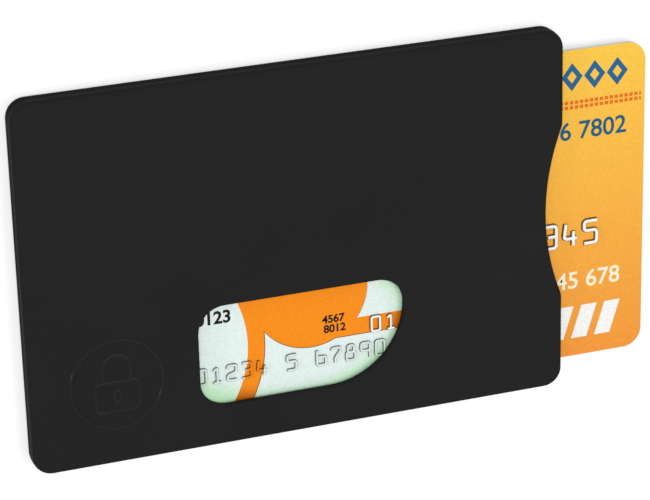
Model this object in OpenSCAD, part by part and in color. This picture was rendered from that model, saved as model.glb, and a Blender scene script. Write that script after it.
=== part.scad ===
// Hard card sleeve: two moulded half shells welded edge to edge round a card slot, a thin metal
// shield inside each half, and the laminated contactless card that slides in the slot.
// Origin: centre of the sleeve's back face. +Z comes out of the front face, +X points out of the
// mouth, and +Y is the card's top edge. Millimetres.

/* [Card] */
// Length of the card
card_l = 85.6; // [80:0.1:92]
// Width of the card
card_w = 53.98; // [50:0.01:60]
// Thickness of the card
card_t = 0.76; // [0.7:0.01:0.95]
// Corner radius of the card
card_r = 3.18; // [2:0.01:5]
// Thickness of each printed sheet on the card's faces
sheet_t = 0.08; // [0.06:0.01:0.1]
// Height that raised characters stand above the card
emboss_h = 0.45; // [0.3:0.01:0.6]
// How far the card stands out of the mouth at rest
card_out = 15; // [2:0.5:40]

/* [Walls] */
// Thickness of the back wall
back_wall = 1; // [0.8:0.05:1.6]
// Thickness of the front wall
front_wall = 1; // [0.8:0.05:1.6]
// Thickness of the rim wall round the edge
wall_t = 1.4; // [1.3:0.05:2]
// Height of the back half's rim above its floor
back_rim_h = 1; // [0.8:0.05:1.3]
// Corner radius of the sleeve's outline
corner_r = 3.2; // [2:0.1:8]
// Rounding of the outer edges of both faces
edge_r = 0.8; // [0.3:0.05:1]
// Draft angle of the rim walls
draft = 3; // [0:0.5:5]

/* [Slot] */
// Clearance between the card's long edges and the rails, each side
side_gap = 0.31; // [0.1:0.01:0.6]
// Height of the friction ribs that carry the card
rib_h = 0.62; // [0.3:0.01:0.9]
// Clearance between the friction ribs and the card
card_gap = 0.08; // [0.03:0.01:0.2]
// Clearance above the raised characters
emboss_gap = 0.09; // [0.05:0.01:0.3]
// Width of each friction rib
rib_w = 1.2; // [0.6:0.1:3]
// Distance of the friction ribs from the middle line
rib_y = 14; // [5:0.5:20]
// Length of the ramp at each end of a friction rib
rib_ramp = 3; // [1:0.5:6]
// Width of the ledges that hold the card's long edges down
ledge_w = 1.2; // [0.6:0.1:2]
// Length of the ramp at the mouth end of each ledge
ledge_ramp = 0.9; // [0.5:0.1:3]
// Clearance between the ledges and the card
ledge_gap = 0.09; // [0.03:0.01:0.3]

/* [Rails and stops] */
// Thickness of the guide rails
rail_t = 1; // [0.6:0.05:2]
// Width of the hollow channel between a rail and the rim wall
channel_w = 1.6; // [1.2:0.1:4]
// Number of webs that cross each channel
web_n = 7; // [3:1:12]
// Thickness of the webs
web_t = 0.8; // [0.5:0.1:1.5]
// Clearance between the webs of the two halves, each side of the seam
web_drop = 0.1; // [0.02:0.01:0.3]
// Number of card stops at the closed end
stop_n = 6; // [2:1:10]
// Length of the card stops, out from the end wall
stop_l = 1.9; // [0.8:0.1:4]
// Thickness of the card stops
stop_t = 0.9; // [0.6:0.1:2]
// Distance of the outer card stops from the rails
stop_inset = 5; // [2:0.5:12]
// Clearance between the stops and a card that is fully in
end_gap = 0.1; // [0.02:0.01:0.4]

/* [Mouth] */
// Distance of the mouth's edge beyond a card that is fully in
mouth_inset = 2; // [0.5:0.1:4]
// Radius of the thumb notch
notch_r = 40; // [20:1:60]
// Depth of the thumb notch
notch_depth = 2.85; // [1:0.05:4]
// Radius of the notch's shoulders
shoulder_r = 5; // [2:0.5:8]
// Lead-in chamfer of the slot along the mouth
lead = 0.35; // [0.1:0.05:0.6]
// Length of the flare at the mouth end of each rail
flare_l = 2.4; // [1:0.1:5]
// How far each rail flares out at the mouth
flare_w = 0.5; // [0.1:0.05:1]

/* [Window] */
// Length of the thumb window
window_l = 34.9; // [20:0.1:50]
// Height of the thumb window
window_h = 17.4; // [12:0.1:24]
// Radius of the window's three small corners
window_r = 4.5; // [2:0.1:5.5]
// Rounding of the window's front edge
window_edge_r = 0.3; // [0.1:0.05:0.4]
// Distance of the window's lower edge from the sleeve's lower edge
window_up = 6.95; // [6.5:0.05:12]
// Distance of the window's middle towards the mouth from the sleeve's middle
window_off = 0; // [-6:0.5:6]

/* [Raised ring] */
// Outer diameter of the raised ring on the front
ring_d = 15.8; // [10:0.1:17]
// Width of the ring at its foot
ring_w = 0.6; // [0.3:0.05:1.2]
// Height of the ring
ring_h = 0.15; // [0.08:0.01:0.3]
// Run of the ring's sloping flanks
ring_slope = 0.14; // [0.02:0.01:0.14]
// Distance of the ring's centre from the closed end
ring_in = 14.3; // [11:0.1:16]
// Distance of the ring's centre from the sleeve's lower edge
ring_up = 13.9; // [11:0.1:20]

/* [Seam] */
// Chamfer of each half along the seam
seam_c = 0.12; // [0.05:0.01:0.2]
// Width of the weld tongue on the front half
tongue_w = 0.4; // [0.3:0.01:0.5]
// Height of the weld tongue
tongue_h = 0.4; // [0.2:0.05:0.7]
// Distance of the tongue from the outer edge
tongue_in = 0.5; // [0.4:0.01:0.6]
// Clearance round the tongue in its groove
tongue_gap = 0.05; // [0.02:0.01:0.08]
// Diameter of the locating pins
pin_d = 1.1; // [0.8:0.05:1.3]
// Length of the locating pins
pin_l = 0.9; // [0.4:0.05:1.1]
// Clearance round the pins and below them
pin_gap = 0.05; // [0.02:0.01:0.1]
// Wall of the bosses round the pins
boss_wall = 0.75; // [0.4:0.05:1.5]

/* [Shields] */
// Thickness of the metal shields
foil_t = 0.12; // [0.05:0.01:0.2]
// How far the shields lie below the slot's surface
foil_sink = 0.03; // [0.01:0.01:0.06]
// Clearance round the shields in their recesses
foil_gap = 0.12; // [0.05:0.01:0.3]
// Margin between the front shield and the window
foil_window = 1.2; // [0.6:0.1:2.5]
// Margin between the shields and the mouth
foil_mouth = 3; // [2:0.1:8]
// Margin between the shields and the rails, ledges and stops
foil_side = 0.5; // [0.3:0.05:2]
// Corner radius of the shields
foil_r = 2; // [1:0.1:4]

/* [Chip and stripe] */
// Length of the chip's contact plate
chip_l = 13; // [10:0.1:14]
// Width of the chip's contact plate
chip_w = 11.8; // [9:0.1:13]
// Thickness of the contact plate
chip_t = 0.16; // [0.12:0.01:0.2]
// Corner radius of the contact plate
chip_r = 2; // [0.5:0.1:3]
// Distance of the chip's centre from the card's inner end
chip_in = 15.06; // [10:0.01:20]
// Distance of the chip's centre from the card's top edge
chip_down = 23.89; // [18:0.01:30]
// Side of the potted chip under the contact plate
pot_w = 7; // [5:0.1:8]
// Corner radius of the potted chip
pot_r = 1; // [0.5:0.1:2]
// Depth of the potted chip below the contact plate
pot_t = 0.32; // [0.2:0.01:0.34]
// Clearance round the chip in its pocket
chip_gap = 0.05; // [0.02:0.01:0.1]
// Length of the contacts in the two outer columns
contact_l = 3.3; // [2.5:0.1:4]
// Width of the grooves between the contacts
contact_gap = 0.25; // [0.1:0.01:0.4]
// Depth of the grooves between the contacts
contact_cut = 0.04; // [0.02:0.01:0.06]
// Width of the magnetic stripe
stripe_w = 12.7; // [8:0.1:14]
// Distance of the stripe from the card's top edge
stripe_down = 4; // [2:0.1:8]
// Length of the signature panel
panel_l = 62; // [40:1:70]
// Width of the signature panel
panel_w = 8.5; // [6:0.1:12]
// Distance of the panel from the magnetic stripe
panel_down = 3.2; // [1:0.1:8]
// Thickness of the stripe and the panel, sunk flush in the back sheet
inlay_t = 0.03; // [0.02:0.01:0.04]
// Clearance round the stripe and the panel
inlay_gap = 0.05; // [0.02:0.01:0.1]

/* [Antenna] */
// Number of turns of the antenna
coil_n = 4; // [2:1:6]
// Width of the antenna's track
coil_w = 0.5; // [0.2:0.05:0.8]
// Distance from one turn to the next
coil_pitch = 1; // [0.9:0.05:1.5]
// Thickness of the antenna's track
coil_t = 0.05; // [0.03:0.01:0.08]
// Room beside the outer and inner turns in their recess
coil_room = 0.2; // [0.05:0.01:0.3]
// Distance of the antenna from the card's ends and top edge
coil_in = 2.6; // [2:0.1:6]
// Distance of the antenna's lowest turn from the card's top edge
coil_down = 28.6; // [27:0.1:34]
// Clearance over the antenna in its recess
coil_gap = 0.02; // [0.01:0.01:0.04]

/* [Hidden] */
$fn = 96;

// Overlap that joins one solid feature to another, and reach of a cut past a face
eps = 0.2;
// Shortest line that is worth a sweep
tiny = 0.001;
// How far the notch's shoulders stand off the tangent
shoulder_ease = 0.01;

// Slot and sleeve, built outwards from the card
slot_w = card_w + 2 * side_gap;
sleeve_w = slot_w + 2 * (rail_t + channel_w + wall_t);
sleeve_l = wall_t + stop_l + end_gap + card_l + mouth_inset;
half_l = sleeve_l / 2;
half_w = sleeve_w / 2;
rib_z = back_wall + rib_h;
card_z = rib_z + card_gap;
card_top = card_z + card_t;
ceiling_z = card_top + emboss_h + emboss_gap;
sleeve_t = ceiling_z + front_wall;
split_z = back_wall + back_rim_h;
front_h = sleeve_t - split_z;

// Inside of the rim and the card's stop
pocket_x = half_l - wall_t;
pocket_y = half_w - wall_t;
stop_x = -pocket_x + stop_l;
rail_y = slot_w / 2;
channel_y = rail_y + rail_t;

// Thumb notch: its arc and the two shoulders that run it into the straight mouth
notch_x = half_l - notch_depth + notch_r;
shoulder_x = half_l - shoulder_r;
shoulder_y = sqrt(2 * (notch_r + shoulder_r) * notch_depth - notch_depth * notch_depth);
shoulder_a = asin(shoulder_y / (notch_r + shoulder_r));

// Window box, and its fourth corner, which sweeps up all of the side left by the small one
window_lo = [window_off - window_l / 2, window_up - half_w];
window_hi = window_lo + [window_l, window_h];
window_sweep = window_h - window_r;

// Ribs under the card
rib_x0 = stop_x + rib_ramp;
rib_x1 = half_l - notch_depth - foil_mouth - rib_ramp;

// Shields: each one's box, seen from the front
foil_x0 = stop_x + foil_side;
foil_x1 = half_l - foil_mouth;
front_foil_y = rail_y - ledge_w - foil_side;
back_foil_y = rail_y - foil_side;
foil_recess = foil_t + foil_sink;

// Card, placed by how far it stands out of the mouth
card_x = half_l + card_out - card_l / 2;
chip_x = chip_in - card_l / 2;
chip_y = card_w / 2 - chip_down;
contact_row = chip_w / 4;

// Antenna corners: turn k is one pitch inside turn k - 1
function coil_x(k) = card_l / 2 - coil_in - k * coil_pitch;
function coil_top(k) = card_w / 2 - coil_in - k * coil_pitch;
function coil_low(k) = card_w / 2 - coil_down + k * coil_pitch;
coil_path = concat(
    [[chip_x, coil_low(0)]],
    [for (k = [0 : coil_n - 1], p = [[coil_x(k), coil_low(k)], [coil_x(k), coil_top(k)],
                                     [-coil_x(k), coil_top(k)], [-coil_x(k), coil_low(k + 1)]]) p],
    [[chip_x, coil_low(coil_n)], [chip_x, coil_low(coil_n) + contact_row]]);

// Flat outlines

// Rectangle between two corners, with its own radius at each: near left, near right, far right,
// far left
module rounded_quad(lo, hi, r) {
    difference() {
        translate(lo) square(hi - lo);
        spandrel([lo[0], lo[1]], r[0], 0);
        spandrel([hi[0], lo[1]], r[1], 90);
        spandrel([hi[0], hi[1]], r[2], 180);
        spandrel([lo[0], hi[1]], r[3], 270);
    }
}

// What a rounded corner leaves out of a square one
module spandrel(at, r, turn) {
    translate(at) rotate(turn) difference() {
        translate([-eps, -eps]) square(r + eps);
        translate([r, r]) circle(r);
    }
}

// A plate outline centred on the origin
module plate(l, w, r) {
    rounded_quad([-l / 2, -w / 2], [l / 2, w / 2], [r, r, r, r]);
}

module card_outline() {
    plate(card_l, card_w, card_r);
}

module window_outline(grow = 0) {
    rounded_quad(window_lo - [grow, grow], window_hi + [grow, grow],
                 [window_r + grow, window_sweep + grow, window_r + grow, window_r + grow]);
}

// Sweeps: a flat profile, drawn with x out of the outline and y upwards, carried along it

module sweep_arc(at, r, from, to) {
    translate(at) rotate([0, 0, from]) rotate_extrude(angle = to - from)
        translate([r, 0]) children();
}

module sweep_line(p, q) {
    if (norm(q - p) > tiny)
        translate(p) rotate([0, 0, atan2(q[1] - p[1], q[0] - p[0])])
            mirror([0, 1, 0]) rotate([90, 0, 90]) linear_extrude(norm(q - p)) children();
}

module sweep_quad(lo, hi, r) {
    sweep_arc(lo + [r[0], r[0]], r[0], 180, 270) children();
    sweep_arc([hi[0] - r[1], lo[1] + r[1]], r[1], 270, 360) children();
    sweep_arc(hi - [r[2], r[2]], r[2], 0, 90) children();
    sweep_arc([lo[0] + r[3], hi[1] - r[3]], r[3], 90, 180) children();
    sweep_line([lo[0] + r[0], lo[1]], [hi[0] - r[1], lo[1]]) children();
    sweep_line([hi[0], lo[1] + r[1]], [hi[0], hi[1] - r[2]]) children();
    sweep_line([hi[0] - r[2], hi[1]], [lo[0] + r[3], hi[1]]) children();
    sweep_line([lo[0], hi[1] - r[3]], [lo[0], lo[1] + r[0]]) children();
}

module sweep_outline() {
    x = half_l - corner_r;
    y = half_w - corner_r;
    sweep_arc([-x, -y], corner_r, 180, 270) children();
    sweep_arc([x, -y], corner_r, 270, 360) children();
    sweep_arc([x, y], corner_r, 0, 90) children();
    sweep_arc([-x, y], corner_r, 90, 180) children();
    sweep_line([-x, -half_w], [x, -half_w]) children();
    sweep_line([x, half_w], [-x, half_w]) children();
    sweep_line([-half_l, y], [-half_l, -y]) children();
    sweep_line([half_l, -y], [half_l, y]) children();
}

module sweep_notch() {
    translate([notch_x, 0, 0]) rotate_extrude() translate([notch_r, 0]) mirror([1, 0]) children();
}

// The shoulders stand a hair outside the tangent, so that they cross the faces they blend
module sweep_shoulders() {
    for (side = [0, 1]) mirror([0, side, 0])
        sweep_arc([shoulder_x, shoulder_y], shoulder_r + shoulder_ease, -shoulder_a, 0) children();
}

// What the rim of a half loses outside its seam chamfer, drafted wall and rounded edge. It
// reaches out far enough to clear the whole thumb notch.
module rim_trim(h) {
    cx = -(edge_r + (h - edge_r - seam_c) * sin(draft)) / cos(draft);
    reach = eps - cx;
    difference() {
        translate([-reach, -eps]) square([reach + notch_depth + eps, h + 2 * eps]);
        polygon([[-reach - eps, -2 * eps], [-seam_c - 2 * eps, -2 * eps], [0, seam_c],
                 [cx + edge_r * cos(draft), h - edge_r + edge_r * sin(draft)],
                 [cx, h - edge_r], [cx, h], [-reach - eps, h]]);
        translate([cx, h - edge_r]) circle(edge_r);
    }
}

// Parts of a half shell, with the seam at z = 0 and the face at z = h

module half_blank(h) {
    difference() {
        difference() {
            difference() {
                linear_extrude(h) plate(sleeve_l, sleeve_w, corner_r);
                sweep_outline() rim_trim(h);
            }
            sweep_notch() rim_trim(h);
        }
        sweep_shoulders() rim_trim(h);
    }
}

// The hollow inside the rim, open at the mouth between the rails
module pocket(depth) {
    translate([0, 0, -eps]) linear_extrude(depth + eps) {
        plate(2 * pocket_x, 2 * pocket_y, corner_r - wall_t);
        translate([0, -rail_y]) square([half_l + eps, slot_w]);
    }
}

module block(lo, hi) {
    translate(lo) cube(hi - lo);
}

function web_x(i) = -pocket_x + i * 2 * pocket_x / (web_n + 1);

module guides(depth) {
    top = depth + eps;
    for (side = [0, 1]) mirror([0, side, 0]) {
        block([-pocket_x - eps, rail_y, 0], [pocket_x + eps, channel_y, top]);
        for (i = [1 : web_n])
            block([web_x(i) - web_t / 2, channel_y - eps, web_drop],
                  [web_x(i) + web_t / 2, pocket_y + eps, top]);
        for (i = [1, web_n])
            block([web_x(i) - pin_d / 2 - boss_wall, channel_y - eps, 0],
                  [web_x(i) + pin_d / 2 + boss_wall, pocket_y + eps, top]);
    }
    span = slot_w - 2 * stop_inset - stop_t;
    for (i = [0 : stop_n - 1])
        block([-pocket_x - eps, -span / 2 + i * span / (stop_n - 1) - stop_t / 2, 0],
              [stop_x, -span / 2 + i * span / (stop_n - 1) + stop_t / 2, top]);
}

// Chamfer that leads a card into the slot, along the mouth and at the ends of the rails
module lead_in(depth) {
    foot = -lead - depth * tan(draft);
    intersection() {
        block([half_l - notch_depth + foot - eps, -rail_y, depth - eps],
              [half_l + eps, rail_y, depth + lead + eps]);
        union() {
            sweep_line([half_l, -half_w], [half_l, half_w]) lead_profile(foot, depth);
            sweep_notch() lead_profile(foot, depth);
        }
    }
    for (side = [0, 1]) mirror([0, side, 0])
        translate([half_l - flare_l, rail_y, -eps]) linear_extrude(depth + eps)
            polygon([[0, -eps], [0, 0], [flare_l, flare_w] * (1 + eps / flare_l),
                     [flare_l + eps, -eps]]);
}

module lead_profile(foot, depth) {
    polygon([[foot, depth - eps], [foot, depth], [foot + lead, depth + lead],
             [eps, depth + lead], [eps, depth - eps]]);
}

module half_shell(h, wall) {
    depth = h - wall;
    difference() {
        union() {
            difference() {
                half_blank(h);
                pocket(depth);
            }
            guides(depth);
        }
        lead_in(depth);
    }
}

// The weld tongue runs in the rim wall, from the mouth round the closed end; its groove is
// the same path with the clearance added
module tongue_path(gap) {
    outer = tongue_in - gap;
    inner = tongue_in + tongue_w + gap;
    intersection() {
        difference() {
            plate(sleeve_l - 2 * outer, sleeve_w - 2 * outer, corner_r - outer);
            plate(sleeve_l - 2 * inner, sleeve_w - 2 * inner, corner_r - inner);
        }
        translate([-half_l, -half_w]) square([sleeve_l - wall_t - corner_r + gap, sleeve_w]);
    }
}

module at_pins() {
    for (i = [1, web_n], side = [-1, 1])
        translate([web_x(i), side * (channel_y + channel_w / 2), 0]) children();
}

// Front shield's and back shield's outlines, grown for their recesses
module foil_outline(y, grow) {
    difference() {
        rounded_quad([foil_x0 - grow, -y - grow], [foil_x1 + grow, y + grow],
                     [1, 1, 1, 1] * (foil_r + grow));
        translate([notch_x, 0]) circle(notch_r + foil_mouth - grow);
    }
}

module front_foil_outline(grow = 0) {
    difference() {
        foil_outline(front_foil_y, grow);
        window_outline(foil_window - grow);
    }
}

module back_foil_outline(grow = 0) {
    difference() {
        foil_outline(back_foil_y, grow);
        for (side = [-1, 1])
            translate([rib_x0 - foil_side + grow, side * rib_y - rib_w / 2 - foil_side + grow])
                square([rib_x1 - rib_x0 + 2 * (foil_side - grow), rib_w + 2 * (foil_side - grow)]);
    }
}

// Nodes

module back_shell() {
    depth = split_z - back_wall;
    color([0.06, 0.06, 0.065]) {
        translate([0, 0, split_z]) mirror([0, 0, 1]) difference() {
            half_shell(split_z, back_wall);
            translate([0, 0, -eps]) linear_extrude(tongue_h + tongue_gap + eps)
                tongue_path(tongue_gap);
            at_pins() translate([0, 0, -eps]) cylinder(pin_l + pin_gap + eps, d = pin_d + 2 * pin_gap);
            translate([0, 0, depth - eps]) linear_extrude(foil_recess + eps)
                back_foil_outline(foil_gap);
        }
        for (side = [-1, 1]) friction_rib(side * rib_y);
    }
}

// A low rib with a ramp at each end, carrying the card
module friction_rib(y) {
    translate([0, y + rib_w / 2, 0]) rotate([90, 0, 0]) linear_extrude(rib_w)
        polygon([[rib_x0, back_wall - eps], [rib_x0, back_wall], [rib_x0 + rib_ramp, rib_z],
                 [rib_x1 - rib_ramp, rib_z], [rib_x1, back_wall], [rib_x1, back_wall - eps]]);
}

module front_shell() {
    depth = front_h - front_wall;
    color([0.07, 0.07, 0.075]) {
        translate([0, 0, split_z]) {
            difference() {
                half_shell(front_h, front_wall);
                window_cut();
                translate([0, 0, depth - eps]) linear_extrude(foil_recess + eps)
                    front_foil_outline(foil_gap);
            }
            translate([0, 0, -tongue_h]) linear_extrude(tongue_h + eps) tongue_path(0);
            at_pins() translate([0, 0, -pin_l]) cylinder(pin_l + eps, d = pin_d);
        }
        for (side = [0, 1]) mirror([0, side, 0]) hold_down_ledge();
        raised_ring();
    }
}

module window_cut() {
    translate([0, 0, -eps]) linear_extrude(front_h + 2 * eps) window_outline();
    sweep_quad(window_lo, window_hi, [window_r, window_sweep, window_r, window_r])
        difference() {
            translate([-eps, front_h - window_edge_r])
                square([eps + window_edge_r, window_edge_r + eps]);
            translate([window_edge_r, front_h - window_edge_r]) circle(window_edge_r);
        }
}

// Ledge along a rail, with a ramp where the card comes in
module hold_down_ledge() {
    z = card_top + ledge_gap;
    x1 = half_l - flare_l - eps;
    translate([0, rail_y + eps, 0]) rotate([90, 0, 0]) linear_extrude(ledge_w + eps)
        polygon([[stop_x, ceiling_z + eps], [stop_x, z], [x1 - ledge_ramp, z], [x1, ceiling_z],
                 [x1, ceiling_z + eps]]);
}

module raised_ring() {
    r = ring_d / 2;
    translate([ring_in - half_l, ring_up - half_w, sleeve_t]) rotate_extrude()
        polygon([[r - ring_w, -eps], [r, -eps], [r, 0], [r - ring_slope, ring_h],
                 [r - ring_w + ring_slope, ring_h], [r - ring_w, 0]]);
}

module back_shield() {
    color([0.75, 0.76, 0.78])
        translate([0, 0, back_wall - foil_recess]) linear_extrude(foil_t) back_foil_outline();
}

module front_shield() {
    color([0.75, 0.76, 0.78])
        translate([0, 0, ceiling_z + foil_sink]) linear_extrude(foil_t) front_foil_outline();
}

module at_card() {
    translate([card_x, 0, card_z]) children();
}

// The card's white plastic body, with the chip's stepped pocket and the antenna's recess
module card_core() {
    color([0.93, 0.93, 0.9]) at_card() difference() {
        translate([0, 0, sheet_t]) linear_extrude(card_t - 2 * sheet_t) card_outline();
        chip_pocket();
        translate([0, 0, sheet_t - eps]) linear_extrude(eps + coil_t + coil_gap) coil_recess();
    }
}

module chip_outline(gap = 0) {
    translate([chip_x, chip_y]) plate(chip_l + 2 * gap, chip_w + 2 * gap, chip_r + gap);
}

module pot_outline(gap = 0) {
    translate([chip_x, chip_y]) plate(pot_w + 2 * gap, pot_w + 2 * gap, pot_r + gap);
}

module chip_pocket() {
    translate([0, 0, card_t - chip_t]) linear_extrude(chip_t + eps) chip_outline(chip_gap);
    translate([0, 0, card_t - chip_t - pot_t - chip_gap])
        linear_extrude(chip_t + pot_t + eps) pot_outline(chip_gap);
}

module coil_recess() {
    room = coil_w / 2 + coil_room;
    difference() {
        rounded_quad([-coil_x(0) - room, coil_low(0) - room], [coil_x(0) + room, coil_top(0) + room],
                     [1, 1, 1, 1] * room);
        rounded_quad([-coil_x(coil_n - 1) + room, coil_low(coil_n) + room],
                     [coil_x(coil_n - 1) - room, coil_top(coil_n - 1) - room], [1, 1, 1, 1] * room);
    }
    translate([chip_x - room, coil_low(coil_n)]) square([2 * room, contact_row + room]);
}

module card_front_sheet() {
    color([0.97, 0.68, 0.24]) at_card() difference() {
        translate([0, 0, card_t - sheet_t]) linear_extrude(sheet_t) card_outline();
        translate([0, 0, card_t - sheet_t - eps]) linear_extrude(sheet_t + 2 * eps)
            chip_outline(chip_gap);
    }
}

module stripe_outline(gap = 0) {
    translate([-card_l / 2 - gap, card_w / 2 - stripe_down - stripe_w - gap])
        square([card_l + 2 * gap, stripe_w + 2 * gap]);
}

module panel_outline(gap = 0) {
    translate([-panel_l / 2 - gap,
               card_w / 2 - stripe_down - stripe_w - panel_down - panel_w - gap])
        square([panel_l + 2 * gap, panel_w + 2 * gap]);
}

module card_back_sheet() {
    color([0.93, 0.93, 0.9]) at_card() difference() {
        linear_extrude(sheet_t) card_outline();
        translate([0, 0, -eps]) linear_extrude(inlay_t + eps) {
            stripe_outline(inlay_gap);
            panel_outline(inlay_gap);
        }
    }
}

// Contact plate, divided by shallow grooves into eight contacts round a middle field, on
// the potted chip
module chip_module() {
    column = chip_l / 2 - contact_l;
    color([0.86, 0.7, 0.36]) at_card() {
        difference() {
            translate([0, 0, card_t - chip_t]) linear_extrude(chip_t) chip_outline();
            translate([chip_x, chip_y, card_t - contact_cut]) linear_extrude(contact_cut + eps) {
                for (side = [-1, 1]) {
                    translate([side * column - contact_gap / 2, -chip_w / 2 - eps])
                        square([contact_gap, chip_w + 2 * eps]);
                    for (i = [-1, 0, 1])
                        translate([side > 0 ? column : -chip_l / 2 - eps, i * contact_row - contact_gap / 2])
                            square([contact_l + eps, contact_gap]);
                }
            }
        }
        translate([0, 0, card_t - chip_t - pot_t]) linear_extrude(pot_t) pot_outline();
    }
}

// One unbroken track that winds inwards and ends under the chip's far contact
module antenna_coil() {
    color([0.78, 0.45, 0.25]) at_card() translate([0, 0, sheet_t]) linear_extrude(coil_t)
        for (i = [0 : len(coil_path) - 1]) {
            translate(coil_path[i]) circle(coil_w / 2);
            if (i > 0) track(coil_path[i - 1], coil_path[i]);
        }
}

module track(p, q) {
    translate(p) rotate(atan2(q[1] - p[1], q[0] - p[0]))
        translate([0, -coil_w / 2]) square([norm(q - p), coil_w]);
}

module magnetic_stripe() {
    color([0.12, 0.09, 0.08]) at_card() linear_extrude(inlay_t)
        intersection() {
            stripe_outline();
            card_outline();
        }
}

module signature_panel() {
    color([0.98, 0.98, 0.96]) at_card() linear_extrude(inlay_t) panel_outline();
}

back_shell();
front_shell();
back_shield();
front_shield();
card_core();
card_front_sheet();
card_back_sheet();
chip_module();
antenna_coil();
magnetic_stripe();
signature_panel();
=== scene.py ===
"""Finishes, print, raised characters and studio for a hard card sleeve with a card in it."""

import math

import bpy
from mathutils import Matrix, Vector


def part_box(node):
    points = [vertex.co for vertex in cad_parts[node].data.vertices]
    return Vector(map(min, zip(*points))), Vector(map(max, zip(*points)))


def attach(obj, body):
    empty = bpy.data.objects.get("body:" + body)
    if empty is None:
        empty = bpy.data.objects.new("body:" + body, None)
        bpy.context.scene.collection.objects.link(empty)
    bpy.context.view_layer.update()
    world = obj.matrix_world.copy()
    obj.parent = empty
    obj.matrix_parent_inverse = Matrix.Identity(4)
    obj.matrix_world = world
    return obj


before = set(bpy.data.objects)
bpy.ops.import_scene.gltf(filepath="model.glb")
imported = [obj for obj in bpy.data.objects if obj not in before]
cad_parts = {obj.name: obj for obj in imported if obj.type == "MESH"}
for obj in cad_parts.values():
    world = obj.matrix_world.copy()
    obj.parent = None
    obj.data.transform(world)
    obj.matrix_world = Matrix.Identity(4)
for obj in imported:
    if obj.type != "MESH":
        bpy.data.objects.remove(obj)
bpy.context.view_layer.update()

MM = 0.001
CARD_LOW, CARD_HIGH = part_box("card_front_sheet")
SLEEVE_THICKNESS = 4.0 * MM
FACE_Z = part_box("back_shell")[0].z + SLEEVE_THICKNESS
RING_AT = (-31.2 * MM, -17.4 * MM)      # centre of the ring on the front face


# Small helpers

def deselect():
    bpy.ops.object.select_all(action="DESELECT")


def activate(*objects):
    deselect()
    for obj in objects:
        obj.select_set(True)
    bpy.context.view_layer.objects.active = objects[0]


def rename(obj, name):
    obj.name = name
    obj.data.name = name
    return obj


def settle(obj):
    """Puts a piece's place into its mesh, so that its object sits at the origin."""
    activate(obj)
    bpy.ops.object.transform_apply(location=True, rotation=True, scale=True)
    return obj


def join(pieces, name):
    activate(*pieces)
    if len(pieces) > 1:
        bpy.ops.object.join()
    return settle(rename(bpy.context.object, name))


def linear(red, green, blue):
    """A colour given as it is seen on screen, 0 to 255."""
    def channel(c):
        c /= 255
        return c / 12.92 if c <= 0.04045 else ((c + 0.055) / 1.055) ** 2.4
    return (channel(red), channel(green), channel(blue), 1.0)


# Node helpers

def add_node(tree, kind, **settings):
    node = tree.nodes.new(kind)
    for key, value in settings.items():
        setattr(node, key, value)
    return node


def feed(tree, socket, value):
    if isinstance(value, bpy.types.NodeSocket):
        tree.links.new(value, socket)
    else:
        socket.default_value = value


def calc(tree, operation, *values, clamp=False):
    node = add_node(tree, "ShaderNodeMath", operation=operation, use_clamp=clamp)
    for socket, value in zip(node.inputs, values):
        feed(tree, socket, value)
    return node.outputs[0]


def blend(tree, mask, under, over):
    """Colour over laid on colour under where the mask is 1."""
    node = add_node(tree, "ShaderNodeMix", data_type="RGBA")
    feed(tree, node.inputs[0], mask)
    feed(tree, node.inputs[6], under)
    feed(tree, node.inputs[7], over)
    return node.outputs[2]


def spread(tree, value, low, high, to_low, to_high):
    node = add_node(tree, "ShaderNodeMapRange")
    for socket, setting in zip(node.inputs, (value, low, high, to_low, to_high)):
        feed(tree, socket, setting)
    return node.outputs[0]


def distance(tree, along, up):
    """Length of a step along and up."""
    return calc(tree, "SQRT", calc(tree, "ADD", calc(tree, "MULTIPLY", along, along),
                                   calc(tree, "MULTIPLY", up, up)))


def group(name, inputs, outputs):
    """A shader node group with named float inputs and named outputs of the given kinds."""
    tree = bpy.data.node_groups.new(name, "ShaderNodeTree")
    for socket, value in inputs.items():
        item = tree.interface.new_socket(name=socket, in_out="INPUT",
                                         socket_type="NodeSocketFloat")
        item.default_value = value
    for socket, kind in outputs.items():
        tree.interface.new_socket(name=socket, in_out="OUTPUT", socket_type=kind)
    return tree, add_node(tree, "NodeGroupInput"), add_node(tree, "NodeGroupOutput")


def place_group(tree, source, **values):
    node = add_node(tree, "ShaderNodeGroup", node_tree=source)
    for key, value in values.items():
        feed(tree, node.inputs[key.replace("_", " ")], value)
    return node


def position(tree):
    return add_node(tree, "ShaderNodeTexCoord").outputs["Object"]


def noise(tree, vector, scale, detail=3.0, roughness=0.55):
    node = add_node(tree, "ShaderNodeTexNoise")
    feed(tree, node.inputs["Vector"], vector)
    feed(tree, node.inputs["Scale"], scale)
    feed(tree, node.inputs["Detail"], detail)
    feed(tree, node.inputs["Roughness"], roughness)
    return node.outputs["Fac"]


def new_finish(name, **sockets):
    """A material with its plain values set on the shader's own sockets."""
    material = bpy.data.materials.new(name)
    material.use_nodes = True
    tree = material.node_tree
    shader = tree.nodes["Principled BSDF"]
    for key, value in sockets.items():
        shader.inputs[key.replace("_", " ")].default_value = value
    return material, tree, shader.inputs


# Shared node groups

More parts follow.
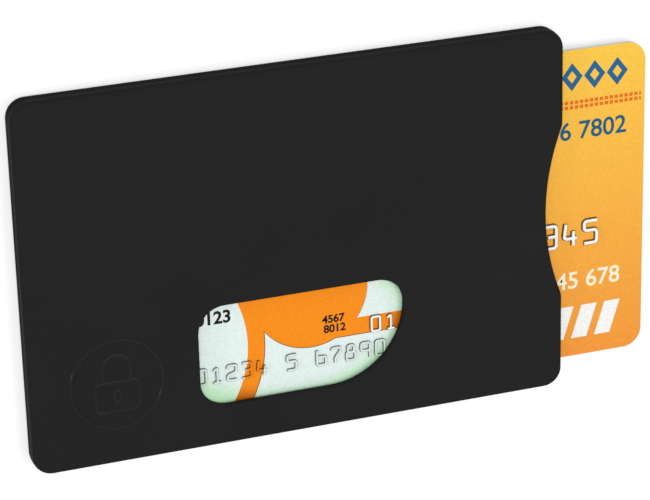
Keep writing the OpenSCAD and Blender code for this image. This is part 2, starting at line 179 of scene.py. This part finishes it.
def make_surface_grain():
    """Fine grain of a moulded or printed surface, with a slow drift for its gloss."""
    tree, given, out = group("surface_grain",
                             {"Grain Scale": 4000.0, "Grain Depth": 0.01, "Drift Scale": 60.0},
                             {"Normal": "NodeSocketVector", "Grain": "NodeSocketFloat",
                              "Drift": "NodeSocketFloat"})
    at = position(tree)
    grain = noise(tree, at, given.outputs["Grain Scale"])
    bump = add_node(tree, "ShaderNodeBump")
    feed(tree, bump.inputs["Strength"], 1.0)
    feed(tree, bump.inputs["Distance"], calc(tree, "MULTIPLY", given.outputs["Grain Depth"], MM))
    feed(tree, bump.inputs["Height"], grain)
    feed(tree, out.inputs["Normal"], bump.outputs["Normal"])
    feed(tree, out.inputs["Grain"], grain)
    feed(tree, out.inputs["Drift"], noise(tree, at, given.outputs["Drift Scale"], detail=2.0))
    return tree


def make_rolled_lines():
    """Long fine lines that rolling or brushing leaves along a metal sheet."""
    tree, given, out = group("rolled_lines", {"Line Scale": 900.0, "Line Depth": 0.004},
                             {"Normal": "NodeSocketVector", "Lines": "NodeSocketFloat"})
    stretch = add_node(tree, "ShaderNodeMapping")
    feed(tree, stretch.inputs["Vector"], position(tree))
    stretch.inputs["Scale"].default_value = (0.03, 1.0, 1.0)
    lines = noise(tree, stretch.outputs["Vector"], given.outputs["Line Scale"], detail=4.0)
    bump = add_node(tree, "ShaderNodeBump")
    feed(tree, bump.inputs["Distance"], calc(tree, "MULTIPLY", given.outputs["Line Depth"], MM))
    feed(tree, bump.inputs["Height"], lines)
    feed(tree, out.inputs["Normal"], bump.outputs["Normal"])
    feed(tree, out.inputs["Lines"], lines)
    return tree


PRINT_EDGE = 0.05   # softness of a printed edge, mm


def soft_edge(tree, depth):
    """A mask of what lies inside an edge, from its depth inside, in mm."""
    return calc(tree, "MULTIPLY_ADD", depth, 1 / PRINT_EDGE, 0.5, clamp=True)


def make_card_place():
    """Distance from the card's inner end, its lower edge and its front face, in mm."""
    tree, _, out = group("card_place", {}, {"Along": "NodeSocketFloat", "Up": "NodeSocketFloat",
                                            "Height": "NodeSocketFloat"})
    mapping = add_node(tree, "ShaderNodeMapping")
    feed(tree, mapping.inputs["Vector"], position(tree))
    mapping.inputs["Location"].default_value = (-CARD_LOW.x / MM, -CARD_LOW.y / MM,
                                                -CARD_HIGH.z / MM)
    mapping.inputs["Scale"].default_value = (1 / MM, 1 / MM, 1 / MM)
    split = add_node(tree, "ShaderNodeSeparateXYZ")
    feed(tree, split.inputs[0], mapping.outputs["Vector"])
    for axis, name in enumerate(("Along", "Up", "Height")):
        feed(tree, out.inputs[name], split.outputs[axis])
    return tree


def make_disc_mask():
    """A disc, 1 inside it."""
    tree, given, out = group("disc_mask", {"Along": 0.0, "Up": 0.0, "Centre Along": 0.0,
                                           "Centre Up": 0.0, "Radius": 1.0},
                             {"Mask": "NodeSocketFloat"})
    i = given.outputs
    away = distance(tree, calc(tree, "SUBTRACT", i["Along"], i["Centre Along"]),
                    calc(tree, "SUBTRACT", i["Up"], i["Centre Up"]))
    feed(tree, out.inputs["Mask"], soft_edge(tree, calc(tree, "SUBTRACT", i["Radius"], away)))
    return tree


def make_panel_mask():
    """A rectangle, leaning by so much along for each mm up."""
    tree, given, out = group("panel_mask", {"Along": 0.0, "Up": 0.0, "Left": 0.0, "Right": 1.0,
                                            "Low": 0.0, "High": 1.0, "Lean": 0.0},
                             {"Mask": "NodeSocketFloat"})
    i = given.outputs
    rise = calc(tree, "SUBTRACT", i["Up"], i["Low"])
    u = calc(tree, "SUBTRACT", i["Along"], calc(tree, "MULTIPLY", rise, i["Lean"]))
    nearest = calc(tree, "MINIMUM",
                   calc(tree, "MINIMUM", calc(tree, "SUBTRACT", u, i["Left"]),
                        calc(tree, "SUBTRACT", i["Right"], u)),
                   calc(tree, "MINIMUM", rise, calc(tree, "SUBTRACT", i["High"], i["Up"])))
    feed(tree, out.inputs["Mask"], soft_edge(tree, nearest))
    return tree


SURFACE_GRAIN = make_surface_grain()
ROLLED_LINES = make_rolled_lines()
CARD_PLACE = make_card_place()
DISC_MASK = make_disc_mask()
PANEL_MASK = make_panel_mask()


# Finishes

NOISE_RANGE = (0.3, 0.7)        # values that a noise keeps to for the most part
POLISH_FROM = (0.005, 0.02)     # heights above the front face where its polish sets in, mm
ROUGHNESS_DRIFT = 0.07          # how far the moulded plastic's roughness wanders


def grain_on(tree, scale, depth, drift):
    """Surface grain in a material: scale of the grain, its depth in mm, and scale of its drift."""
    return place_group(tree, SURFACE_GRAIN, Grain_Scale=scale, Grain_Depth=depth,
                       Drift_Scale=drift)


def lines_on(tree, scale, depth):
    """Rolled lines in a material: their scale, and their depth in mm."""
    return place_group(tree, ROLLED_LINES, Line_Scale=scale, Line_Depth=depth)


def feed_surface(tree, sockets, colour, texture):
    feed(tree, sockets["Base Color"], colour)
    feed(tree, sockets["Normal"], texture.outputs["Normal"])


def feed_roughness(tree, sockets, noise_value, low, high):
    """Roughness that a noise moves between two values."""
    feed(tree, sockets["Roughness"], spread(tree, noise_value, *NOISE_RANGE, low, high))


def moulded_black(name, dark, light, roughness, polish=0.0):
    """Black plastic with mould texture, polished by so much where it stands above the face."""
    material, tree, sockets = new_finish(name, Specular_IOR_Level=0.012, Coat_Roughness=0.24)
    height = place_group(tree, CARD_PLACE).outputs["Height"]
    low, high = [(FACE_Z - CARD_HIGH.z) / MM + rise for rise in POLISH_FROM]
    feed(tree, sockets["Coat Weight"], spread(tree, height, low, high, 0.0, polish))
    grain = grain_on(tree, scale=5200.0, depth=0.006, drift=38.0)
    fleck = calc(tree, "MULTIPLY_ADD", grain.outputs["Grain"], 0.5,
                 calc(tree, "MULTIPLY", grain.outputs["Drift"], 0.5))
    feed_surface(tree, sockets, blend(tree, fleck, dark, light), grain)
    feed_roughness(tree, sockets, grain.outputs["Drift"], roughness,
                   roughness + ROUGHNESS_DRIFT)
    return material


def shield_metal():
    material, tree, sockets = new_finish("shield_metal", Metallic=1.0)
    rolled = lines_on(tree, scale=1400.0, depth=0.003)
    lines = rolled.outputs["Lines"]
    feed_surface(tree, sockets, blend(tree, lines, linear(122, 124, 127),
                                      linear(158, 160, 163)), rolled)
    feed_roughness(tree, sockets, lines, 0.24, 0.38)
    return material


def card_stock():
    material, tree, sockets = new_finish("card_stock", Roughness=0.5)
    grain = grain_on(tree, scale=3000.0, depth=0.004, drift=120.0)
    feed_surface(tree, sockets, blend(tree, grain.outputs["Grain"], linear(226, 224, 214),
                                      linear(244, 243, 236)), grain)
    return material


class Print:
    """Paints one colour after another on a card face."""

    def __init__(self, tree, ground):
        self.tree = tree
        place = place_group(tree, CARD_PLACE)
        self.along, self.up = place.outputs["Along"], place.outputs["Up"]
        self.height = place.outputs["Height"]
        self.colour = ground

    def disc(self, centre, radius):
        return place_group(self.tree, DISC_MASK, Along=self.along, Up=self.up,
                           Centre_Along=centre[0], Centre_Up=centre[1],
                           Radius=radius).outputs["Mask"]

    def ring(self, centre, inner, outer):
        return calc(self.tree, "SUBTRACT", self.disc(centre, outer), self.disc(centre, inner))

    def panel(self, left, right, low, high, lean=0.0, along=None, up=None):
        return place_group(self.tree, PANEL_MASK, Along=along or self.along, Up=up or self.up,
                           Left=left, Right=right, Low=low, High=high,
                           Lean=lean).outputs["Mask"]

    def repeat(self, value, pitch, start):
        """Distance within a repeat of the given pitch."""
        shifted = calc(self.tree, "SUBTRACT", value, start)
        return calc(self.tree, "FLOORED_MODULO", shifted, pitch)

    def both(self, one, other):
        return calc(self.tree, "MULTIPLY", one, other)

    def paint(self, mask, colour):
        self.colour = blend(self.tree, mask, self.colour, colour)


# Colours of the print

MINT = linear(231, 246, 243)
# painted shade: the next two colours are the mint and the orange where the thumb window's edges
# shade the card
LEAF_SHADE = linear(202, 247, 205)
ORANGE = linear(252, 144, 16)
SHADED_ORANGE = linear(196, 104, 20)
BROWN = linear(120, 62, 18)
# painted shade: the near-black that the foot and the flanks of raised characters are darkened to
SHADE_BLACK = linear(40, 26, 10)
AMBER_TOP = linear(253, 202, 70)
AMBER_LOW = linear(246, 154, 58)
RUST = linear(234, 108, 22)
BLUE = linear(0, 98, 144)
WHITE = linear(250, 250, 247)
CARRIER = linear(64, 52, 34)
BACK_GROUND = linear(196, 224, 208)
BACK_LINE = linear(170, 168, 160)

# Places in the print, in mm along from the card's inner end and up from its lower edge

# Painted shade towards the thumb window's edges: green on the mint ground, deeper on the orange
EDGE_SHADE_CENTRE = (23.3, 13.5)
EDGE_SHADE_SQUASH = 1.75              # how much quicker the painted window-edge shade comes upwards than along
EDGE_SHADE_RANGE = (16.0, 21.5)       # distances where the painted shade starts and is full
SUN = (27.0, 19.5)              # centre of the orange disc
SUN_RADIUS = 9.8
BEND = (-3.0, 12.0)             # centre of the orange arc beside it
BEND_RADII = (19.2, 22.0)
BAND = (SUN[0], 60.0, 10.6, 13.5)       # left, right, low and high, as in each box
SPILL = 0.13                    # brown that shows past the orange
FIELD = (110.0, 27.0)           # centre of the amber field's edge
FIELD_RADIUS = 52.0
FIELD_RIM = 0.6                 # white rim of the amber field
FIELD_TOP = 54.0                # where the field's colour is palest
DOT_BOX = (50.0, 84.9, 43.8, 45.5)
DOT_PITCH = (0.88, 0.85)
DOT_SPAN = (0.1, 0.70)          # where a dot starts and ends in its repeat
LOZENGE_BOX = (66.6, 82.6, 46.0, 53.0)
LOZENGE_START = 62.6
LOZENGE_PITCH = 4.0
LOZENGE_UP = 49.4
LOZENGE_HALVES = (2.4, 1.05)    # half heights of a lozenge and of its hole
LOZENGE_SQUEEZE = 1.28          # height over width
BAR_LEFTS = (68.6, 72.8, 77.0)
BAR_WIDTH = 2.8
BAR_LOW = 3.2
BAR_HIGH = 9.0
BAR_LEAN = 0.32                 # along for each mm up
BACK_LEFT = 4.0
BACK_LINES = ((60.0, 13.2), (60.0, 11.2), (44.0, 9.2))      # right end and lower edge of each
BACK_LINE_WIDTH = 0.25
BACK_SEAL = (74.0, 10.5)
SEAL_RADII = (5.2, 3.4)
PANEL_LINE_WIDTH = 0.18
PANEL_LINE_PITCH = 1.2
PAST_EDGES = (-1.0, 60.0)       # from below the card's lower edge to above its upper one

# Heights above the card's face, in mm

FOOT_SHADE_HEIGHTS = (0.24, 0.40)     # where the painted shade at the foot of a raised character ends
FOIL_HEIGHTS = (0.32, 0.37)     # where the foil on one starts
GOLD_HEIGHTS = (-0.030, -0.012)     # where the gold of the contacts starts

# How strongly one colour is laid over another

SPECKLE = 0.10
SPECKLE_RANGE = (0.35, 0.65)    # values of the grain where it is full and where it ends
# how strongly painted shade darkens the foot of a raised character
FOOT_SHADE_STRENGTH = 0.94
# how strongly painted shade darkens the flanks of the foil digits
FLANK_SHADE = 0.88


def window_edge_shade(art):
    """A mask of painted shade towards the thumb window's edges: 0 in the middle of the window at
    rest and 1 well away from it.
    """
    tree = art.tree
    edge_shade = add_node(tree, "ShaderNodeMapRange", interpolation_type="SMOOTHSTEP")
    across = calc(tree, "SUBTRACT", art.along, EDGE_SHADE_CENTRE[0])
    above = calc(tree, "SUBTRACT", art.up, EDGE_SHADE_CENTRE[1])
    away = distance(tree, across, calc(tree, "MULTIPLY", above, EDGE_SHADE_SQUASH))
    for socket, value in zip(edge_shade.inputs, (away, *EDGE_SHADE_RANGE, 0.0, 1.0)):
        feed(tree, socket, value)
    return edge_shade.outputs[0]


def card_artwork(tree):
    """Mint ground with an orange disc, arc and band, and an amber field at the outer end, with
    painted shade turning them green and deeper orange towards the thumb window's edges.
    """
    art = Print(tree, MINT)
    edge_shade = window_edge_shade(art)
    # painted shade: the window's edges darken the card beneath, green on the mint and deep orange
    # on the orange
    art.paint(edge_shade, LEAF_SHADE)
    orange = blend(tree, edge_shade, ORANGE, SHADED_ORANGE)
    left, right, low, high = BAND
    for shade, spill in ((BROWN, SPILL), (orange, 0.0)):
        art.paint(art.ring(BEND, BEND_RADII[0], BEND_RADII[1] + spill), shade)
        art.paint(art.disc((SUN[0], SUN[1] - spill), SUN_RADIUS), shade)
        art.paint(art.panel(left, right, low - spill, high), shade)

    field = art.disc(FIELD, FIELD_RADIUS)
    art.paint(art.disc(FIELD, FIELD_RADIUS + FIELD_RIM), WHITE)
    height = calc(tree, "MULTIPLY", art.up, 1 / FIELD_TOP, clamp=True)
    art.paint(field, blend(tree, height, AMBER_LOW, AMBER_TOP))

    art.paint(art.both(field, art.both(dots(art), art.panel(*DOT_BOX))), RUST)
    art.paint(art.both(lozenges(art), art.panel(*LOZENGE_BOX)), BLUE)
    art.paint(leaning_bars(art), WHITE)
    return art


def dots(art):
    """Square dots, one in each repeat along and up."""
    return art.panel(*DOT_SPAN, *DOT_SPAN, along=art.repeat(art.along, DOT_PITCH[0], 0.0),
                     up=art.repeat(art.up, DOT_PITCH[1], DOT_BOX[2]))


def lozenges(art):
    """A row of open lozenges."""
    tree = art.tree
    across = calc(tree, "SUBTRACT", art.repeat(art.along, LOZENGE_PITCH, LOZENGE_START),
                  LOZENGE_PITCH / 2)
    aside = calc(tree, "MULTIPLY", calc(tree, "ABSOLUTE", across), LOZENGE_SQUEEZE)
    above = calc(tree, "ABSOLUTE", calc(tree, "SUBTRACT", art.up, LOZENGE_UP))
    reach = calc(tree, "ADD", aside, above)
    outer, inner = [soft_edge(tree, calc(tree, "SUBTRACT", half, reach))
                    for half in LOZENGE_HALVES]
    return calc(tree, "SUBTRACT", outer, inner)


def leaning_bars(art):
    """Leaning bars side by side in the lower corner."""
    bars = [art.panel(left, left + BAR_WIDTH, BAR_LOW, BAR_HIGH, lean=BAR_LEAN)
            for left in BAR_LEFTS]
    total = bars[0]
    for bar in bars[1:]:
        total = calc(art.tree, "ADD", total, bar, clamp=True)
    return total


def printed_front(name, foot_shaded=False):
    """The card's print, with painted shade darkening the foot of its raised characters where that
    is asked for.
    """
    material, tree, sockets = new_finish(name, Specular_IOR_Level=0.12)
    art = card_artwork(tree)
    grain = grain_on(tree, scale=2600.0, depth=0.003, drift=160.0)
    speckle = spread(tree, grain.outputs["Grain"], *SPECKLE_RANGE, SPECKLE, 0.0)
    colour = blend(tree, speckle, art.colour, BROWN)
    if foot_shaded:
        # painted shade: the foot of each raised character darkened nearly to black
        shade_at_foot = spread(tree, art.height, *FOOT_SHADE_HEIGHTS, FOOT_SHADE_STRENGTH, 0.0)
        colour = blend(tree, shade_at_foot, colour, SHADE_BLACK)
    feed_surface(tree, sockets, colour, grain)
    feed_roughness(tree, sockets, grain.outputs["Drift"], 0.30, 0.38)
    return material


def printed_back():
    """The card's back: three ruled lines and a small amber ring."""
    material, tree, sockets = new_finish("printed_back", Specular_IOR_Level=0.35)
    art = Print(tree, BACK_GROUND)
    for right, low in BACK_LINES:
        art.paint(art.panel(BACK_LEFT, right, low, low + BACK_LINE_WIDTH), BACK_LINE)
    for radius, colour in zip(SEAL_RADII, (AMBER_TOP, BACK_GROUND)):
        art.paint(art.disc(BACK_SEAL, radius), colour)
    grain = grain_on(tree, scale=2600.0, depth=0.003, drift=160.0)
    feed_surface(tree, sockets, art.colour, grain)
    feed_roughness(tree, sockets, grain.outputs["Drift"], 0.30, 0.40)
    return material


def contact_gold():
    """Gold on the contacts, with the dark carrier bare in the grooves and on the potted chip."""
    material, tree, sockets = new_finish("contact_gold")
    rolled = lines_on(tree, scale=2200.0, depth=0.002)
    lines = rolled.outputs["Lines"]
    height = place_group(tree, CARD_PLACE).outputs["Height"]
    plated = spread(tree, height, *GOLD_HEIGHTS, 0.0, 1.0)
    gold = blend(tree, lines, linear(178, 134, 60), linear(206, 164, 88))
    feed_surface(tree, sockets, blend(tree, plated, CARRIER, gold), rolled)
    feed(tree, sockets["Metallic"], plated)
    feed_roughness(tree, sockets, lines, 0.26, 0.38)
    return material


def etched_copper():
    material, tree, sockets = new_finish("etched_copper", Metallic=1.0)
    grain = grain_on(tree, scale=6000.0, depth=0.004, drift=200.0)
    feed_surface(tree, sockets, blend(tree, grain.outputs["Drift"], linear(176, 104, 66),
                                      linear(214, 140, 96)), grain)
    feed_roughness(tree, sockets, grain.outputs["Grain"], 0.30, 0.46)
    return material


def stripe_tape():
    material, tree, sockets = new_finish("stripe_tape", Specular_IOR_Level=0.4)
    rolled = lines_on(tree, scale=1800.0, depth=0.001)
    lines = rolled.outputs["Lines"]
    feed_surface(tree, sockets, blend(tree, lines, linear(38, 30, 26),
                                      linear(56, 46, 40)), rolled)
    feed_roughness(tree, sockets, lines, 0.26, 0.36)
    return material


def writing_panel():
    """White coating with fine leaning lines."""
    material, tree, sockets = new_finish("writing_panel", Roughness=0.75)
    art = Print(tree, linear(244, 243, 238))
    leaning = art.repeat(calc(tree, "ADD", art.along, art.up), PANEL_LINE_PITCH, 0.0)
    line = art.panel(0.0, PANEL_LINE_WIDTH, *PAST_EDGES, along=leaning)
    art.paint(line, linear(206, 214, 216))
    feed(tree, sockets["Base Color"], art.colour)
    return material


def raised_foil():
    """White foil on the tops of raised digits, worn off their flanks, which carry painted shade:
    the print darkened nearly to black.
    """
    material, tree, sockets = new_finish("raised_foil", Specular_IOR_Level=0.5)
    art = card_artwork(tree)
    top = spread(tree, art.height, *FOIL_HEIGHTS, 0.0, 1.0)
    # painted shade: the flanks darkened to stand for the relief's shading
    shaded_flank = blend(tree, FLANK_SHADE, art.colour, SHADE_BLACK)
    grain = grain_on(tree, scale=4200.0, depth=0.008, drift=400.0)
    feed_surface(tree, sockets, blend(tree, top, shaded_flank, WHITE), grain)
    feed_roughness(tree, sockets, grain.outputs["Drift"], 0.22, 0.34)
    return material


def ink(name, dark, light):
    material, tree, sockets = new_finish(name, Roughness=0.4, Specular_IOR_Level=0.12)
    grain = grain_on(tree, scale=5000.0, depth=0.002, drift=300.0)
    feed_surface(tree, sockets, blend(tree, grain.outputs["Grain"], dark, light), grain)
    return material


FRONT_BLACK = moulded_black("moulded_black_front", linear(30, 30, 30), linear(41, 41, 41), 0.46,
                            polish=0.09)
# painted shade: the back shell is a darker copy of the same black plastic, for the darker back
# half of the side walls
SHADED_BACK_BLACK = moulded_black("moulded_black_back_shaded", linear(18, 18, 19), linear(27, 27, 28), 0.54)
METAL = shield_metal()
FRONT_PRINT = printed_front("printed_front")
# painted shade at the foot of the lower row's raised characters
FOOT_SHADED_PRINT = printed_front("printed_front_foot_shaded", foot_shaded=True)
FOIL = raised_foil()
BLACK_INK = ink("black_ink", linear(2, 2, 2), linear(18, 17, 16))
BLUE_INK = ink("blue_ink", linear(4, 80, 112), linear(14, 98, 134))
PALE_INK = ink("pale_ink", linear(250, 234, 200), linear(252, 246, 226))

NODE_FINISHES = {
    "front_shell": FRONT_BLACK, "back_shell": SHADED_BACK_BLACK,
    "front_shield": METAL, "back_shield": METAL,
    "card_core": card_stock(), "card_front_sheet": FRONT_PRINT,
    "card_back_sheet": printed_back(), "chip_module": contact_gold(),
    "antenna_coil": etched_copper(), "magnetic_stripe": stripe_tape(),
    "signature_panel": writing_panel(),
}


def dress_nodes():
    for name, material in NODE_FINISHES.items():
        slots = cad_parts[name].data.materials
        slots.clear()
        slots.append(material)


def finish_piece(piece, material, body):
    piece.data.materials.clear()
    piece.data.materials.append(material)
    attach(piece, body)


# Camera, lights and floor

CAMERA_AT = (-0.13334, 0.17540, 0.40492)
CAMERA_TURN = (-21.9992, -19.5037, -1.5139)     # degrees
CAMERA_LENS = 159.49                            # mm, on a sensor 36 mm wide

LAMPS = (       # name, place, what it shines on, size and power
    ("key", (-0.25, 0.32, 1.10), (0.0, 0.0, 0.0), 0.6, 5.0),
    ("side", (0.50, -0.12, 1.15), (0.0, 0.0, 0.0), 0.5, 3.4),
    ("glint", (-0.60, -0.01, 0.18), (*RING_AT, FACE_Z), 0.06, 0.5),
)
FLOOR_SIZE = 1.6
FLOOR_Z = -0.05 * MM
FLOOR_GREY = 0.60       # share of the light that the floor scatters
FLOOR_GLOW = 0.50       # what it adds where it is seen
ROOM_LIGHT = 0.48       # strength of the world where it isn't seen


def set_camera():
    bpy.ops.object.camera_add(location=CAMERA_AT,
                              rotation=[math.radians(turn) for turn in CAMERA_TURN])
    camera = bpy.context.object
    camera.data.sensor_width = 36.0
    camera.data.lens = CAMERA_LENS
    camera.data.clip_start = 0.01
    camera.data.clip_end = 20.0
    camera.data.dof.use_dof = False
    bpy.context.scene.camera = camera


def area_light(name, at, towards, size, power):
    bpy.ops.object.light_add(type="AREA", location=at)
    lamp = rename(bpy.context.object, name)
    lamp.rotation_euler = (Vector(towards) - Vector(at)).to_track_quat("-Z", "Y").to_euler()
    lamp.data.size = size
    lamp.data.energy = power


def seen_as_white(tree):
    """1 for rays that see the background straight, by reflection or through glass."""
    rays = add_node(tree, "ShaderNodeLightPath").outputs
    seen = calc(tree, "ADD", rays["Is Camera Ray"], rays["Is Transmission Ray"], clamp=True)
    return calc(tree, "ADD", seen, rays["Is Glossy Ray"], clamp=True)


def set_studio():
    world = bpy.data.worlds.new("studio")
    bpy.context.scene.world = world
    world.use_nodes = True
    tree = world.node_tree
    background = tree.nodes["Background"]
    background.inputs["Color"].default_value = (1.0, 1.0, 1.0, 1.0)
    feed(tree, background.inputs["Strength"],
         spread(tree, seen_as_white(tree), 0.0, 1.0, ROOM_LIGHT, 1.0))
    for lamp in LAMPS:
        area_light(*lamp)

    bpy.ops.mesh.primitive_plane_add(size=FLOOR_SIZE, location=(0.0, 0.0, FLOOR_Z))
    floor = rename(bpy.context.object, "floor")
    material, tree, sockets = new_finish("floor_white", Roughness=0.9, Specular_IOR_Level=0.0)
    sockets["Base Color"].default_value = (FLOOR_GREY, FLOOR_GREY, FLOOR_GREY, 1.0)
    sockets["Emission Color"].default_value = (1.0, 1.0, 1.0, 1.0)
    feed(tree, sockets["Emission Strength"],
         calc(tree, "MULTIPLY", seen_as_white(tree), FLOOR_GLOW))
    floor.data.materials.append(material)


# Raised characters

GRID_WIDE = 2
GRID_HIGH = 4
DIGIT_STROKES = {       # the strokes of each character, on that grid
    "0": [[(0, 0), (0, 4), (2, 4), (2, 0), (0, 0)]],
    "1": [[(0.3, 3.2), (1.1, 4), (1.1, 0)], [(0.3, 0), (1.9, 0)]],
    "2": [[(0, 3.2), (0, 4), (2, 4), (2, 2.2), (0, 1.4), (0, 0), (2, 0)]],
    "3": [[(0, 4), (2, 4), (2, 0), (0, 0)], [(0.7, 2.1), (2, 2.1)]],
    "4": [[(0.3, 4), (0, 1.3), (2, 1.3)], [(1.5, 2.6), (1.5, 0)]],
    "5": [[(2, 4), (0, 4), (0, 2.3), (2, 2.3), (2, 0), (0, 0)]],
    "6": [[(0, 4), (0, 0), (2, 0), (2, 2.2), (0, 2.2)]],
    "7": [[(0, 3.4), (0, 4), (2, 4), (2, 3), (0.8, 1.4), (0.8, 0)]],
    "8": [[(0.3, 2.2), (0.3, 4), (1.7, 4), (1.7, 2.2)],
          [(0, 0), (0, 2.2), (2, 2.2), (2, 0), (0, 0)]],
    "9": [[(2, 0), (2, 4), (0, 4), (0, 1.9), (2, 1.9)]],
    "/": [[(0.1, 0), (1.9, 4)]],
}
CORNER_SHARE = 0.22     # rounding of a stroke's corners for each unit of width
CORNER_STEPS = 3
SMOOTH_BELOW = math.radians(40)
POINT_SIZE = 0.1 * MM   # plane that is merged to a stroke's first point
SAME_POINT = 0.01 * MM


def draw_path(points, rounding, segments):
    """One stroke: a point pulled out along the path, with its corners rounded."""
    bpy.ops.mesh.primitive_plane_add(size=POINT_SIZE, location=(*points[0], 0.0))
    bpy.ops.object.mode_set(mode="EDIT")
    bpy.ops.mesh.merge(type="CENTER")
    for here, there in zip(points, points[1:]):
        step = (there[0] - here[0], there[1] - here[1], 0.0)
        bpy.ops.mesh.extrude_region_move(TRANSFORM_OT_translate={"value": step})
    bpy.ops.mesh.select_all(action="SELECT")
    bpy.ops.mesh.remove_doubles(threshold=SAME_POINT)
    bpy.ops.mesh.bevel(affect="VERTICES", offset=rounding, segments=segments)
    bpy.ops.object.mode_set(mode="OBJECT")
    bpy.ops.object.transform_apply(location=True, rotation=True, scale=True)
    return bpy.context.object


def round_ridges(drawn, stroke):
    """Gives drawn strokes a round section, centred on z = 0."""
    activate(*drawn)
    if len(drawn) > 1:
        bpy.ops.object.join()
    bpy.ops.object.convert(target="CURVE")
    shape = bpy.context.object
    shape.data.dimensions = "3D"
    shape.data.bevel_depth = stroke / 2
    shape.data.bevel_resolution = 2
    shape.data.use_fill_caps = True
    bpy.ops.object.convert(target="MESH")
    return bpy.context.object


def raised_character(mark, width, height, stroke):
    """The ridge of one character, centred on the origin."""
    drawn = []
    for path in DIGIT_STROKES[mark]:
        points = [((u / GRID_WIDE - 0.5) * width, (v / GRID_HIGH - 0.5) * height)
                  for u, v in path]
        drawn.append(draw_path(points, CORNER_SHARE * width, CORNER_STEPS))
    return round_ridges(drawn, stroke)


def character_row(name, text, start, pitch, up, width, height, stroke, proud):
    """A row of raised characters, each copied from one master of its kind."""
    deselect()
    masters = {mark: raised_character(mark, width, height, stroke)
               for mark in sorted(set(text) - {" "})}
    row = []
    centre_z = CARD_HIGH.z + proud - stroke / 2
    for i, mark in enumerate(text):
        if mark == " ":
            continue
        activate(masters[mark])
        bpy.ops.object.duplicate()
        copy = bpy.context.object
        copy.location = (CARD_LOW.x + start + i * pitch, CARD_LOW.y + up, centre_z)
        row.append(copy)
    for master in masters.values():
        bpy.data.objects.remove(master)
    piece = join(row, name)
    activate(piece)
    bpy.ops.object.shade_smooth_by_angle(angle=SMOOTH_BELOW)
    return piece


RAISED_ROWS = (     # name, text, then start, pitch, up, width, height, stroke and proud in mm
    ("number_row", "0123 4567 8901 2345", 10.68, 3.63, 22.1, 2.25, 3.9, 0.90, 0.45, FOIL),
    ("date_row", "01/23", 38.0, 2.54, 12.0, 1.45, 2.5, 0.62, 0.42, FOIL),
    ("lower_row", "01234 5 67890 12", 8.2, 2.54, 7.6, 1.5, 2.6, 0.54, 0.42, FOOT_SHADED_PRINT),
)


def emboss_card():
    for name, text, *sizes, finish in RAISED_ROWS:
        row = character_row(name, text, *[size * MM for size in sizes])
        finish_piece(row, finish, "card")


INK_DEPTH = 0.02 * MM
BOLD = 0.03         # outline spread for each unit of size
MEDIUM = 0.012


def printed_numerals(name, text, along, up, size, colour, boldness, align):
    """Flat printed numerals, a thin film of ink on the card's face."""
    bpy.ops.object.text_add(location=(0.0, 0.0, 0.0))
    obj = rename(bpy.context.object, name)
    obj.data.body = text
    obj.data.size = size
    obj.data.extrude = INK_DEPTH / 2
    obj.data.offset = boldness * size
    obj.data.align_x = align
    bpy.ops.object.convert(target="MESH")
    obj = bpy.context.object
    obj.location = (CARD_LOW.x + along, CARD_LOW.y + up, CARD_HIGH.z + INK_DEPTH / 4)
    settle(obj)
    finish_piece(obj, colour, "card")


NUMERALS = (        # name, text, along, up and size in mm, ink, spread and alignment
    ("account_numerals", "0123", 7.6, 16.5, 3.0, BLACK_INK, BOLD, "LEFT"),
    ("upper_numerals", "4567", 28.9, 13.4, 1.9, BLACK_INK, BOLD, "LEFT"),
    ("lower_numerals", "8012", 29.1, 11.7, 1.9, BLACK_INK, BOLD, "LEFT"),
    ("blue_numerals", "3456 7802", 82.4, 38.7, 4.3, BLUE_INK, MEDIUM, "RIGHT"),
    ("pale_numerals", "45 678", 81.6, 12.3, 4.2, PALE_INK, MEDIUM, "RIGHT"),
)


def print_numerals():
    for name, text, along, up, size, *rest in NUMERALS:
        printed_numerals(name, text, along * MM, up * MM, size * MM, *rest)


# Motif inside the raised ring

RIDGE_WIDTH = 0.66 * MM
RIDGE_FLATNESS = 0.42       # height of the ridge's section for each unit of width
RIDGE_SUNK = 0.6            # share of the half height below the face
RIDGE_SMOOTH_BELOW = math.radians(50)

LOCK_STROKES = (            # closed or open path in mm, its rounding in mm, and segments
    ([(-3.6, -4.7), (3.6, -4.7), (3.6, 0.4), (-3.6, 0.4), (-3.6, -4.7)], 0.9, 4),
    ([(-2.3, 0.4), (-2.3, 5.0), (2.3, 5.0), (2.3, 0.4)], 2.25, 8),
    ([(-0.6, -3.1), (0.6, -3.1), (0.6, -1.2), (-0.6, -1.2), (-0.6, -3.1)], 0.58, 4),
)


def raise_motif():
    """A padlock in low, round ridges inside the ring."""
    drawn = [draw_path([(x * MM, y * MM) for x, y in path], rounding * MM, segments)
             for path, rounding, segments in LOCK_STROKES]
    motif = rename(round_ridges(drawn, RIDGE_WIDTH), "ring_motif")
    half_height = RIDGE_FLATNESS * RIDGE_WIDTH / 2
    motif.scale = (1.0, 1.0, RIDGE_FLATNESS)
    motif.location = (*RING_AT, FACE_Z - RIDGE_SUNK * half_height)
    settle(motif)
    bpy.ops.object.shade_smooth_by_angle(angle=RIDGE_SMOOTH_BELOW)
    finish_piece(motif, FRONT_BLACK, "sleeve")


# Making

set_camera()
set_studio()
dress_nodes()
emboss_card()
print_numerals()
raise_motif()

bpy.context.scene.view_settings.view_transform = "Standard"
